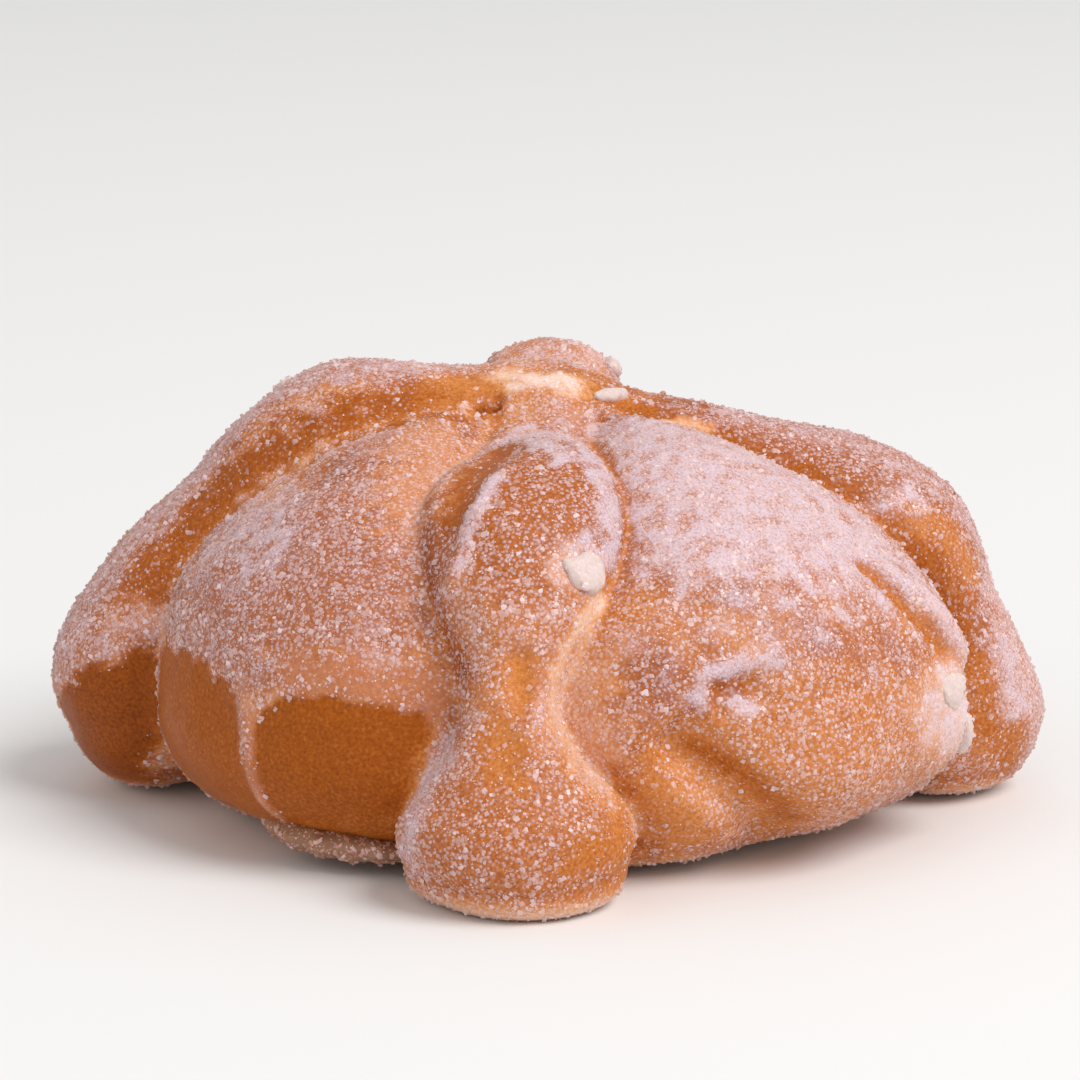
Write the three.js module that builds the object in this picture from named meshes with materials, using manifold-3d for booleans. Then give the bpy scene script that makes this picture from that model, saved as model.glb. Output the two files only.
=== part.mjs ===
// A pan de muerto: a round sweet bun with two strips of dough laid across it. The strips are
// rolled by hand into bones, each with a knob near the crossing and a knob at the foot, and the
// whole is baked into one piece and rolled in sugar, which cakes into lumps here and there.
// Millimetres, +Z up, underside on z = 0, front of the bread towards -Y.

import * as THREE from "three";
import { LoftGeometry } from "three/addons/geometries/LoftGeometry.js";
import { ParametricGeometry } from "three/addons/geometries/ParametricGeometry.js";
import { mergeVertices } from "three/addons/utils/BufferGeometryUtils.js";
import Module from "manifold-3d";

// The bun: a full dome over a rounded belly, with a flat underside.
const bun = {
  radius: 50.5, // at the belly, under a bone
  height: 52, // at the top, before the bones press it in
  bellyHeight: 15,
  footRadius: 39, // edge of the flat underside
  fullness: 2.2, // power of the dome's curve, 2 for an ellipse
  pressDepth: 8, // how far the bones press into the dome
  pressWidths: [5, 15.5], // at the crossing and at the rim
};

// The quarters between the bones: how far each swells past the bun's radius, how far its underside
// is tucked in, and how far its shoulder sags.
const quarterSpread = 32; // degrees
const quarters = [
  { azimuth: 42, swell: 4, tuck: 8, sag: 3 }, // back right
  { azimuth: 132, swell: 3.5, tuck: 9, sag: 1.5 }, // back left
  { azimuth: 232, swell: 2.5, tuck: 13, sag: 0 }, // front left
  { azimuth: 325, swell: 4.5, tuck: 12, sag: 0 }, // front right
];

// The bones. Each is a core from the crossing to the toe, in the upright plane at its azimuth, with
// the run out from the middle, the height, the half width and half thickness, and the sideways sway.
const bones = [
  {
    azimuth: 266, // front
    crossing: { run: -4, height: 47, width: 6, thick: 4.5, sway: 0 },
    neck: { run: 14, height: 43.3, width: 8.5, thick: 5.5, sway: -0.5 },
    upperKnob: { run: 33.6, height: 39.2, width: 12.2, thick: 8.2, sway: -0.6 },
    waist: { run: 47, height: 22.5, width: 5.4, thick: 5.5, sway: -1 },
    lowerKnob: { run: 50, height: 10, width: 13.4, thick: 10.8, sway: 0 },
    toe: { run: 49.8, height: 6, width: 13.2, thick: 10.8, sway: 0 },
  },
  {
    azimuth: 0, // right
    crossing: { run: -4, height: 47.3, width: 6, thick: 4.5, sway: 0 },
    neck: { run: 18, height: 44.4, width: 8, thick: 5, sway: -1 },
    upperKnob: { run: 42, height: 34.8, width: 12, thick: 8.4, sway: -1.5 },
    waist: { run: 49.3, height: 23, width: 10.5, thick: 7.3, sway: -1.5 },
    lowerKnob: { run: 50.8, height: 12.5, width: 12, thick: 10.5, sway: 0 },
    toe: { run: 50.3, height: 9, width: 12, thick: 10.8, sway: 0 },
  },
  {
    azimuth: 88, // back
    crossing: { run: -4, height: 47, width: 6, thick: 4.5, sway: 0 },
    neck: { run: 8, height: 46.5, width: 7, thick: 5, sway: 0 },
    upperKnob: { run: 19, height: 47, width: 9, thick: 7.1, sway: 0 },
    waist: { run: 44, height: 27.5, width: 7, thick: 5.8, sway: 1 },
    lowerKnob: { run: 48.5, height: 13, width: 12.5, thick: 10.8, sway: 0 },
    toe: { run: 48.7, height: 8, width: 12.5, thick: 10.8, sway: 0 },
  },
  {
    azimuth: 174, // left
    crossing: { run: -4, height: 47.3, width: 6.5, thick: 5, sway: 0 },
    neck: { run: 8, height: 47.7, width: 8, thick: 5.6, sway: 0.5 },
    upperKnob: { run: 24.5, height: 46.5, width: 11.5, thick: 7.2, sway: 1 },
    waist: { run: 40, height: 36.5, width: 10.5, thick: 5.7, sway: 1.5 },
    lowerKnob: { run: 49.7, height: 18, width: 15, thick: 11.2, sway: 2 },
    toe: { run: 49.2, height: 11, width: 15, thick: 11.4, sway: 2 },
  },
];

// Places on the crust are given as seen from the heart: an azimuth, and a lift above the level.
const heart = new THREE.Vector3(0, 0, 18);

// Hollows in the crust, each along the line from one place to another. A bulge has a negative depth.
const hollows = [
  { from: [288, 0], to: [305, -15], width: 4.2, depth: 2.8 }, // fold beside the front bone's foot
  { from: [309, -4], to: [313, -10], width: 9, depth: -1.2 }, // bulge beyond the fold
];

// Lumps of caked sugar, with the length, width and height of each.
const lumps = [
  { azimuth: 276.4, lift: 24, size: [5.2, 5.6, 3] }, // at the front bone's upper knob
  { azimuth: 333, lift: 76.2, size: [6, 1.7, 1.7] }, // beside the crossing
  { azimuth: 332, lift: 1.5, size: [5, 6, 1.6] }, // beside the crease of the right bone
  { azimuth: 339.5, lift: -6.5, size: [3, 4.4, 2.2] }, // below it
  { azimuth: 251.5, lift: -17, size: [3, 4.8, 3] }, // at the front bone's toe
];

// More lumps on the hidden side, drawn at random within these ranges.
const hiddenLumps = {
  count: 7,
  azimuths: [20, 170],
  lifts: [5, 60],
  sizes: [2.6, 4.6],
  flatness: 0.6, // height over length
  seed: 7,
};

// The ledge of sugar caked under the belly of the front left quarter: an oval carried along an arc,
// with the values of its two ends.
const ledge = {
  azimuths: [221, 250],
  runs: [44.6, 43.2],
  heights: [4.4, 2.8],
  thicks: [2.6, 1.6],
  width: 4,
};

// Facets
const bunColumns = 104;
const bunRows = 32;
const footShare = 0.08; // of the bun's rows, under the foot
const bellyShare = 0.32; // of the bun's rows, up to the belly
const boneSides = 24;
const boneRings = 26;
const capRings = 6;
const ledgeSides = 10;
const ledgeRings = 12;
const lumpColumns = 6;
const lumpRows = 4;
const weldDistance = 1e-3;

const crustColour = 0xb5692f;

const wasm = await Module();
wasm.setup();

const radians = THREE.MathUtils.degToRad;
const lerp = THREE.MathUtils.lerp;
const up = new THREE.Vector3(0, 0, 1);
const bell = (x) => Math.exp(-x * x);

// The shortest turn from one azimuth to another, in degrees.
function turnBetween(from, to) {
  return ((to - from + 540) % 360) - 180;
}

// The level way out from the middle at an azimuth.
function levelWay(azimuth) {
  return new THREE.Vector3(Math.cos(radians(azimuth)), Math.sin(radians(azimuth)), 0);
}

// The way from the heart to a place on the crust.
function wayTo(azimuth, lift) {
  const level = levelWay(azimuth).multiplyScalar(Math.cos(radians(lift)));
  return level.addScaledVector(up, Math.sin(radians(lift)));
}

// A closed geometry as a solid: shared vertices merged, and the triangles that collapse at a pole dropped.
function solidOf(geometry) {
  const bare = new THREE.BufferGeometry();
  bare.setAttribute("position", geometry.getAttribute("position"));
  bare.setIndex(geometry.getIndex());
  const merged = mergeVertices(bare, weldDistance);
  const corners = merged.getIndex().array;
  const kept = [];
  for (let i = 0; i < corners.length; i += 3) {
    const [a, b, c] = corners.slice(i, i + 3);
    if (a !== b && b !== c && c !== a) kept.push(a, b, c);
  }
  const vertProperties = new Float32Array(merged.getAttribute("position").array);
  return new wasm.Manifold(new wasm.Mesh({ numProp: 3, vertProperties, triVerts: new Uint32Array(kept) }));
}

// A solid as a mesh.
function meshOf(solid) {
  const { vertProperties, triVerts } = solid.getMesh();
  const geometry = new THREE.BufferGeometry();
  geometry.setAttribute("position", new THREE.BufferAttribute(vertProperties, 3));
  geometry.setIndex(new THREE.BufferAttribute(triVerts, 1));
  geometry.computeVertexNormals();
  const crust = new THREE.MeshStandardMaterial({ color: crustColour, roughness: 0.6, metalness: 0 });
  return new THREE.Mesh(geometry, crust);
}

// How far the bones press the bun in, at a distance from the middle and an azimuth.
function pressAt(distance, azimuth) {
  const width = lerp(...bun.pressWidths, distance / bun.radius);
  const presses = bones.map((bone) => {
    const turn = radians(turnBetween(bone.azimuth, azimuth));
    const aside = Math.cos(turn) > 0 ? distance * Math.sin(turn) : distance;
    return bell(aside / width);
  });
  return bun.pressDepth * Math.max(...presses);
}

// A sum over the quarters at an azimuth, each fading to either side of its middle.
function quarterSum(azimuth, pick) {
  const shareOf = (quarter) => bell(turnBetween(quarter.azimuth, azimuth) / quarterSpread);
  return quarters.reduce((sum, quarter) => sum + pick(quarter) * shareOf(quarter), 0);
}

// The bun's skin: around by u, and by v out under the foot, round the belly and up over the dome.
function bunSkin(u, v, target) {
  const azimuth = u * 360;
  const foot = bun.footRadius - quarterSum(azimuth, (quarter) => quarter.tuck);
  const girth = bun.radius + quarterSum(azimuth, (quarter) => quarter.swell);
  const sag = quarterSum(azimuth, (quarter) => quarter.sag);
  const rounding = 2 / bun.fullness;
  let distance;
  let height;
  if (v < footShare) {
    distance = (foot * v) / footShare;
    height = 0;
  } else if (v < bellyShare) {
    const rise = ((v - footShare) / (bellyShare - footShare)) * (Math.PI / 2);
    const belly = girth - pressAt(girth, azimuth);
    distance = foot + (belly - foot) * Math.sin(rise);
    height = bun.bellyHeight * (1 - Math.cos(rise));
  } else {
    const rise = ((v - bellyShare) / (1 - bellyShare)) * (Math.PI / 2);
    distance = girth * Math.max(Math.cos(rise), 0) ** rounding;
    height = bun.bellyHeight + (bun.height - bun.bellyHeight) * Math.sin(rise) ** rounding;
    const press = pressAt(distance, azimuth);
    distance = Math.max(distance - press * Math.cos(rise), 0);
    height -= press * Math.sin(rise) + sag * Math.sin(2 * rise);
  }
  target.copy(levelWay(azimuth)).multiplyScalar(distance).setZ(height);
}

// A ring of points on an oval, from its middle and its two half axes.
function ovalRing(middle, across, outward, sides) {
  return Array.from({ length: sides }, (_, i) => {
    const turn = (i / sides) * 2 * Math.PI;
    return middle.clone().addScaledVector(across, Math.cos(turn)).addScaledVector(outward, Math.sin(turn));
  });
}

// A bone: an oval carried along a smooth core, with a round cap on each end.
function boneSkin(bone) {
  const stations = [bone.crossing, bone.neck, bone.upperKnob, bone.waist, bone.lowerKnob, bone.toe];
  const curveOf = (pick) => new THREE.CatmullRomCurve3(stations.map(pick), false, "catmullrom", 0.5);
  const core = curveOf((s) => new THREE.Vector3(s.run, s.sway, s.height));
  const girth = curveOf((s) => new THREE.Vector3(s.width, s.thick, 0));
  const side = new THREE.Vector3(0, 1, 0);
  const ringAt = (along, pushed, share) => {
    const tangent = core.getTangent(along);
    const outward = new THREE.Vector3().crossVectors(tangent, side).normalize();
    const { x: width, y: thick } = girth.getPoint(along);
    const middle = core.getPoint(along).addScaledVector(tangent, pushed * thick);
    const across = side.clone().multiplyScalar(width * share);
    return ovalRing(middle, across, outward.multiplyScalar(thick * share), boneSides);
  };
  const rounding = (i) => ((i / capRings) * Math.PI) / 2;
  const rings = [];
  for (let i = 1; i < capRings; i++) rings.push(ringAt(0, -Math.cos(rounding(i)), Math.sin(rounding(i))));
  for (let i = 0; i <= boneRings; i++) rings.push(ringAt(i / boneRings, 0, 1));
  for (let i = 1; i < capRings; i++) rings.push(ringAt(1, Math.sin(rounding(i)), Math.cos(rounding(i))));
  return new LoftGeometry(rings, { capStart: true, capEnd: true }).rotateZ(radians(bone.azimuth));
}

// A skin with the hollows pressed into it: each point moves towards the heart, less the further it
// is from the hollow's line.
function hollowed(skin) {
  const points = skin.getAttribute("position");
  const point = new THREE.Vector3();
  const nearest = new THREE.Vector3();
  for (let i = 0; i < points.count; i++) {
    const reach = point.fromBufferAttribute(points, i).sub(heart).length();
    const way = point.clone().normalize();
    for (const { from, to, width, depth } of hollows) {
      new THREE.Line3(wayTo(...from), wayTo(...to)).closestPointToPoint(way, true, nearest);
      point.addScaledVector(way, -depth * bell((nearest.distanceTo(way) * reach) / width));
    }
    point.add(heart);
    points.setXYZ(i, point.x, point.y, point.z);
  }
  return skin;
}

// The ledge: its oval swells from nothing at one end and back to nothing at the other.
function ledgeSkin() {
  const rings = [];
  for (let i = 1; i < ledgeRings; i++) {
    const share = i / ledgeRings;
    const outward = levelWay(lerp(...ledge.azimuths, share));
    const swell = Math.sqrt(Math.sin(share * Math.PI));
    const middle = outward.clone().multiplyScalar(lerp(...ledge.runs, share));
    middle.setZ(lerp(...ledge.heights, share));
    const rise = up.clone().multiplyScalar(lerp(...ledge.thicks, share) * swell);
    rings.push(ovalRing(middle, rise, outward.multiplyScalar(ledge.width * swell), ledgeSides));
  }
  return new LoftGeometry(rings, { capStart: true, capEnd: true });
}

// A lump: a flattened ball, half sunk into the crust where the way out of the heart meets it.
function lumpSkin({ azimuth, lift, size }, crust) {
  const way = wayTo(azimuth, lift);
  const outside = heart.clone().addScaledVector(way, 2 * bun.radius);
  const [hit] = new THREE.Raycaster(outside, way.negate()).intersectObject(crust);
  return new THREE.SphereGeometry(0.5, lumpColumns, lumpRows)
    .rotateX(Math.PI / 2)
    .scale(...size)
    .applyQuaternion(new THREE.Quaternion().setFromUnitVectors(up, hit.face.normal))
    .translate(...hit.point.toArray());
}

// The lumps on the hidden side.
function drawHiddenLumps() {
  const { count, azimuths, lifts, sizes, flatness, seed } = hiddenLumps;
  const draw = (range) => lerp(...range, THREE.MathUtils.seededRandom());
  THREE.MathUtils.seededRandom(seed);
  return Array.from({ length: count }, () => {
    const length = draw(sizes);
    return { azimuth: draw(azimuths), lift: draw(lifts), size: [length, draw(sizes), flatness * length] };
  });
}

// What would lie below the surface that the bread rests on.
function belowTable() {
  const side = 4 * bun.radius;
  const depth = bun.height;
  return new THREE.BoxGeometry(side, side, depth).translate(0, 0, -depth / 2);
}

let dough = solidOf(hollowed(new ParametricGeometry(bunSkin, bunColumns, bunRows)));
for (const bone of bones) dough = dough.add(solidOf(hollowed(boneSkin(bone))));
const crust = meshOf(dough);
dough = dough.add(solidOf(ledgeSkin()));
for (const lump of [...lumps, ...drawHiddenLumps()]) dough = dough.add(solidOf(lumpSkin(lump, crust)));
dough = dough.subtract(solidOf(belowTable()));

const bread = meshOf(dough);
bread.name = "bread";

const panDeMuerto = new THREE.Group();
panDeMuerto.add(bread);

export default panDeMuerto;
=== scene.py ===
import bpy
import numpy as np
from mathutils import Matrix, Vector


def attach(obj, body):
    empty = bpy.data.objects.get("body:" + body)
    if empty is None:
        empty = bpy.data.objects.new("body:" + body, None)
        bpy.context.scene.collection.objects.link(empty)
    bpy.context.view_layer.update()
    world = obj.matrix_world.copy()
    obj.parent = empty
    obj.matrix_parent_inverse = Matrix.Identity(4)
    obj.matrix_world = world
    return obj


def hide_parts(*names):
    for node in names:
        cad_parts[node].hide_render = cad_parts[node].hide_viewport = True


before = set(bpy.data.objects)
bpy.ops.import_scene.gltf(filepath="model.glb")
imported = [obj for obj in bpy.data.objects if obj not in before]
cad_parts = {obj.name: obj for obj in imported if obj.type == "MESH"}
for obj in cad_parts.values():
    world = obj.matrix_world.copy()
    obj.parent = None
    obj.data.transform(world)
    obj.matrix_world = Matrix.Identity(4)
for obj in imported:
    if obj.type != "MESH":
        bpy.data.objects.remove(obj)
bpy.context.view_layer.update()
print("frame loaded")

mm = 0.001


# a bell curve, 1 in the middle and about a third one unit away
def bell(x):
    return np.exp(-x * x)


# a smooth step from 0 at low to 1 at high
def smoothStep(low, high, x):
    t = np.clip((x - low) / (high - low), 0, 1)
    return t * t * (3 - 2 * t)


# the shortest turn between two azimuths, in degrees
def turnBetween(azimuth, to):
    return (to - azimuth + 540) % 360 - 180


# the unit way out of the heart at an azimuth and a lift above the level
def wayTo(azimuth, lift):
    azimuth, lift = np.radians(azimuth), np.radians(lift)
    level = np.cos(lift)
    return np.stack([level * np.cos(azimuth), level * np.sin(azimuth), np.sin(lift)], -1)


# uneven cloudiness: a sum of plane waves in random directions, about size millimetres long; mean 0, spread 1
def clouds(points, size, seed, waves=48):
    draw = np.random.default_rng(seed)
    ways = draw.normal(size=(waves, 3))
    ways /= np.linalg.norm(ways, axis=1)[:, None]
    turns = 2 * np.pi / (size * draw.uniform(0.7, 1.6, waves))
    phases = draw.uniform(0, 2 * np.pi, waves)
    waviness = np.cos(points.astype(np.float32) @ (ways * turns[:, None]).T.astype(np.float32) + phases)
    return waviness.sum(1) * np.sqrt(2 / waves)


# a smooth curve through the rows of a table: a cubic between neighbours, whose slope at each row is half
# the step from the row before to the row after
def curveThrough(rows, count):
    rows = np.asarray(rows, float)
    rows = np.vstack([2 * rows[0] - rows[1], rows, 2 * rows[-1] - rows[-2]])
    along = np.linspace(0, len(rows) - 3 - 1e-6, count)
    i = along.astype(int)
    t = (along - i)[:, None]
    a, b, c, d = rows[i], rows[i + 1], rows[i + 2], rows[i + 3]
    return b + 0.5 * ((c - a) * t + (2 * a - 5 * b + 4 * c - d) * t**2 + (3 * b - a - 3 * c + d) * t**3)


# a smooth mesh object from vertices in millimetres and faces as arrays of corners, one array for each face
# size
def makePiece(name, vertices, faceSets, material):
    corners = np.concatenate([faces.ravel() for faces in faceSets]).astype(np.int32)
    sizes = np.concatenate([np.full(len(faces), faces.shape[1]) for faces in faceSets]).astype(np.int32)
    mesh = bpy.data.meshes.new(name)
    mesh.vertices.add(len(vertices))
    mesh.vertices.foreach_set("co", (vertices * mm).astype(np.float32).ravel())
    mesh.loops.add(len(corners))
    mesh.loops.foreach_set("vertex_index", corners)
    mesh.polygons.add(len(sizes))
    mesh.polygons.foreach_set("loop_start", (np.cumsum(sizes) - sizes).astype(np.int32))
    mesh.polygons.foreach_set("use_smooth", np.ones(len(sizes), bool))
    mesh.update(calc_edges=True)
    mesh.validate()
    mesh.materials.append(material)
    piece = bpy.data.objects.new(name, mesh)
    bpy.context.scene.collection.objects.link(piece)
    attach(piece, "root")
    return piece


# faces of a closed skin of rings, whose two poles come after the rings: quads between neighbouring rings,
# and a fan of triangles at each pole
def skinFaces(rings, columns):
    index = np.arange(rings * columns).reshape(rings, columns)
    after = np.roll(index, -1, 1)
    quads = np.stack([index[:-1], after[:-1], after[1:], index[1:]], -1).reshape(-1, 4)
    first, last = np.full(columns, rings * columns), np.full(columns, rings * columns + 1)
    fans = [np.stack([after[0], index[0], first], -1), np.stack([index[-1], after[-1], last], -1)]
    return quads, np.concatenate(fans)


# the outward normal at each point of a skin: the sum of the normals of the quads round it
def normalsOf(points, quads):
    a, b, c, d = [points[quads[:, i]] for i in range(4)]
    facing = np.cross(c - a, d - b)
    normals = np.zeros_like(points)
    for corner in range(4):
        for axis in range(3):
            normals[:, axis] += np.bincount(quads[:, corner], facing[:, axis], len(points))
    return normals / np.maximum(np.linalg.norm(normals, axis=1), 1e-9)[:, None]


# a number for each vertex of a piece, which its material reads by name
def addAttribute(piece, name, values):
    attribute = piece.data.attributes.new(name, "FLOAT", "POINT")
    attribute.data.foreach_set("value", values.astype(np.float32))


# an sRGB hex colour as the linear colour that a socket takes
def linear(hexColour):
    parts = np.array([int(hexColour[i:i + 2], 16) for i in (1, 3, 5)]) / 255
    parts = np.where(parts < 0.04045, parts / 12.92, ((parts + 0.055) / 1.055) ** 2.4)
    return (*parts.tolist(), 1.0)


# adds a node; settings are its own properties, and inputs are values or other nodes' sockets, by name or
# place: a mix has its share at 0, and its numbers at 2 and 3 or its colours at 6 and 7
def addNode(tree, kind, inputs=None, **settings):
    node = tree.nodes.new(kind)
    for name, value in settings.items():
        setattr(node, name, value)
    for name, value in (inputs or {}).items():
        if isinstance(value, bpy.types.NodeSocket):
            tree.links.new(value, node.inputs[name])
        else:
            node.inputs[name].default_value = value
    return node


# a material whose nodes are only a Principled shader and its output
def startMaterial(name):
    material = bpy.data.materials.new(name)
    material.use_nodes = True
    tree = material.node_tree
    tree.nodes.clear()
    shader = addNode(tree, "ShaderNodeBsdfPrincipled")
    addNode(tree, "ShaderNodeOutputMaterial", {"Surface": shader.outputs[0]})
    return material, tree, shader


# Form of the bread: places on the crust are an azimuth and a lift as seen from the heart
heart = np.array([0.0, 0.0, 18.0])

bun = dict(
    radius=50.5, height=52.0, bellyHeight=15.0, footRadius=39.0, fullness=2.2,
    pressDepth=8.0,  # how far the bones press into the dome
    pressWidths=(5.0, 15.5),  # at the crossing and at the rim
    quarterSpread=32.0,  # degrees
    quarters=[  # azimuth, swell, tuck of the underside, sag of the shoulder
        (42, 4.0, 8.0, 3.0),
        (132, 3.5, 9.0, 1.5),
        (232, 2.5, 13.0, 0.0),
        (325, 4.5, 12.0, 0.0),
    ],
    edgeRound=2.5,  # rounding of the foot's edge
)

# stations from the crossing to the toe: run, height, half width, half thickness, sway, melt into the dough
bones = [
    dict(azimuth=266, stations=[
        (-4, 47, 6, 4.5, 0, 5), (14, 43.3, 8.5, 5.5, -0.5, 1.6), (33.6, 39.2, 12.2, 8.2, -0.6, 1.0),
        (47, 22.5, 5.4, 5.5, -1, 3.5), (50, 10, 13.4, 10.8, 0, 2), (49.8, 6, 13.2, 10.8, 0, 2)]),
    dict(azimuth=0, stations=[
        (-4, 47.3, 6, 4.5, 0, 5), (18, 44.4, 8, 5, -1, 2.5), (42, 34.8, 12, 8.4, -1.5, 2),
        (49.3, 23, 10.5, 7.3, -1.5, 1.2), (50.8, 12.5, 12, 10.5, 0, 1.2), (50.3, 9, 12, 10.8, 0, 1.2)]),
    dict(azimuth=88, stations=[
        (-4, 47, 6, 4.5, 0, 5), (8, 46.5, 7, 5, 0, 3), (19, 47, 9, 7.1, 0, 2),
        (44, 27.5, 7, 5.8, 1, 2), (48.5, 13, 12.5, 10.8, 0, 1.5), (48.7, 8, 12.5, 10.8, 0, 1.5)]),
    dict(azimuth=174, stations=[
        (-4, 47.3, 6.5, 5, 0, 5), (8, 47.7, 8, 5.6, 0.5, 4), (24.5, 46.5, 11.5, 7.2, 1, 5),
        (40, 36.5, 10.5, 5.7, 1.5, 5), (49.7, 18, 15, 11.2, 2, 2.5), (49.2, 11, 15, 11.4, 2, 1.5)]),
]

# steps along a bone's core, and how far aside and behind the crossing its field is worked out
boneLimits = dict(coreSteps=70, aside=28, behind=16)
for bone in bones:
    bone["core"] = curveThrough(bone["stations"], boneLimits["coreSteps"])

# hollows pressed into the crust along lines of places; a bulge has a negative depth
hollows = [
    dict(along=[(288, 0), (296, -7), (305, -15)], width=3.1, depth=3.4),  # fold beside the front bone's foot
    dict(along=[(309, -4), (313, -10)], width=9, depth=-1.2),  # bulge beyond the fold
    # right groove
    dict(along=[(323, 19.5), (324.8, 16), (326, 12.5), (328, 9.2), (331, 5.6)], width=1.3, depth=1.0),
    dict(along=[(327, 18), (329.6, 13.6), (332.6, 9), (334.5, 5.6)], width=1.8, depth=-0.8),  # its lip
    dict(along=[(257, 50), (255, 40), (253.5, 30)], width=3.4, depth=1.7),  # scoop in the front upper knob
    dict(along=[(261, 42), (257, 30), (255.5, 21)], width=1.2, depth=-0.8),  # its ridge
    dict(along=[(266.5, 12), (266.7, 7.5)], width=1.8, depth=1.1),  # dents in the front waist
    dict(along=[(264.7, 4), (265, 0.8)], width=2.6, depth=0.9),
    dict(along=[(280, 15), (279, 8), (280, 1)], width=6, depth=-1.8),  # filled crease right of the waist
    dict(along=[(333, 12), (336, 3), (336, -7)], width=7, depth=-2.2),  # right quarter's bulge
    dict(along=[(221.5, 71.8), (228, 74)], width=1.0, depth=2.2),  # cave under the left bone's inner end
    # rim and hollow of an old print
    dict(along=[(290.6, 6.2), (291.7, 8.7), (294.4, 9.9), (298.2, 10.6), (301.9, 11.2)], width=1.1,
         depth=-0.6),
    dict(along=[(294, 7), (298, 6.4)], width=2.2, depth=0.8),
    dict(along=[(226.8, 4), (228.3, -2), (228.6, -8), (229, -13)], width=0.9, depth=-0.35),  # drip
]

# rows go up from the lowest lift, and a few lie under the foot; each way starts at the farthest reach and
# steps by the stride's share of the field
breadGrid = dict(columns=520, rows=176, footRows=9, lowestLift=-27, farthest=80.0, steps=60, stride=0.7)


# two distance fields melted together: the smaller one, less up to a quarter of the melt where they are alike
def softMin(a, b, melt):
    alike = np.clip(1 - np.abs(a - b) / melt, 0, 1)
    return np.minimum(a, b) - alike**2 * melt / 4


# the bun's distance field: over the belly a dome whose profile is a power curve, and under it a quarter
# ellipse down to the foot, both measured along the line from their middles
def bunField(points):
    x, y, z = points.T
    distance = np.hypot(x, y)
    azimuth = np.degrees(np.arctan2(y, x))
    swell, tuck, sag, press = 0, 0, 0, 0
    narrow, wide = bun["pressWidths"]
    pressWidth = narrow + (wide - narrow) * distance / bun["radius"]
    for middle, quarterSwell, quarterTuck, quarterSag in bun["quarters"]:
        share = bell(turnBetween(middle, azimuth) / bun["quarterSpread"])
        swell, tuck, sag = swell + quarterSwell * share, tuck + quarterTuck * share, sag + quarterSag * share
    for bone in bones:
        turn = np.radians(turnBetween(bone["azimuth"], azimuth))
        aside = np.where(np.cos(turn) > 0, distance * np.sin(turn), distance)
        press = np.maximum(press, bun["pressDepth"] * bell(aside / pressWidth))
    girth, foot = bun["radius"] + swell, bun["footRadius"] - tuck
    power, rise = bun["fullness"], bun["height"] - bun["bellyHeight"]
    above = np.maximum(z - bun["bellyHeight"], 0)
    slant = np.arctan2((above / rise) ** (power / 2), (distance / girth) ** (power / 2))
    out = distance + press * np.cos(slant)
    up = above + press * np.sin(slant) + sag * np.sin(2 * slant)
    scale = np.maximum(((out / girth) ** power + (up / rise) ** power) ** (1 / power), 1e-6)
    dome = np.hypot(out, up) * (1 - 1 / scale)
    belly = girth - press
    outward, under = np.maximum(distance - foot, 0), np.maximum(bun["bellyHeight"] - z, 0)
    scale = np.maximum(np.hypot(outward / (belly - foot), under / bun["bellyHeight"]), 1e-6)
    skirt = np.hypot(outward, under) * (1 - 1 / scale)
    return np.where(z > bun["bellyHeight"], dome, skirt)


# a bone's distance field and melt: an oval about the nearest point of its core, measured from that point,
# which lies up to 0.6 of a step from the nearest row and not past the ends
def boneField(run, side, height, core):
    step = np.gradient(core, axis=0)
    gap = (run[:, None] - core[:, 0]) ** 2 + (height[:, None] - core[:, 1]) ** 2
    at = gap.argmin(1)
    near, way = core[at], step[at]
    ahead = (run - near[:, 0]) * way[:, 0] + (height - near[:, 1]) * way[:, 1]
    ahead = ahead / (way[:, 0] ** 2 + way[:, 1] ** 2)
    ahead = np.clip(ahead, np.where(at == 0, 0, -0.6), np.where(at == len(core) - 1, 0, 0.6))
    middleRun, middleHeight, width, thick, sway, melt = (near + way * ahead[:, None]).T
    out, side = np.hypot(run - middleRun, height - middleHeight), side - sway
    scale = np.maximum(np.hypot(side / width, out / thick), 1e-6)
    return np.hypot(side, out) * (1 - 1 / scale), melt


# the whole crust's distance field, with how deep a point is in a crease: 1 where a bone's field is the same
# as the dough's, and falling by a square to 0 where they differ by the melt
def crustField(points):
    field = bunField(points)
    crease = np.zeros(len(points))
    for bone in bones:
        turn = np.radians(bone["azimuth"])
        run = points[:, 0] * np.cos(turn) + points[:, 1] * np.sin(turn)
        side = points[:, 1] * np.cos(turn) - points[:, 0] * np.sin(turn)
        near = np.flatnonzero((np.abs(side) < boneLimits["aside"]) & (run > -boneLimits["behind"]))
        strip, melt = boneField(run[near], side[near], points[near, 2], bone["core"])
        crease[near] = np.maximum(crease[near], np.clip(1 - np.abs(strip - field[near]) / melt, 0, 1) ** 2)
        field[near] = softMin(field[near], strip, melt)
    return -softMin(-field, points[:, 2], bun["edgeRound"]), crease


# how far each way is from a line of places on the crust: the shortest chord to its stretches, times the
# reach
def gapTo(along, ways, reach):
    spots = wayTo(*np.transpose(along).astype(float))
    spots = np.vstack([spots, spots]) if len(spots) == 1 else spots
    gap = np.full(len(ways), np.inf)
    for a, b in zip(spots[:-1], spots[1:]):
        stretch = b - a
        t = np.clip(((ways - a) @ stretch) / max(stretch @ stretch, 1e-9), 0, 1)
        gap = np.minimum(gap, np.linalg.norm(ways - a - t[:, None] * stretch, axis=1))
    return gap * reach


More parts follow.
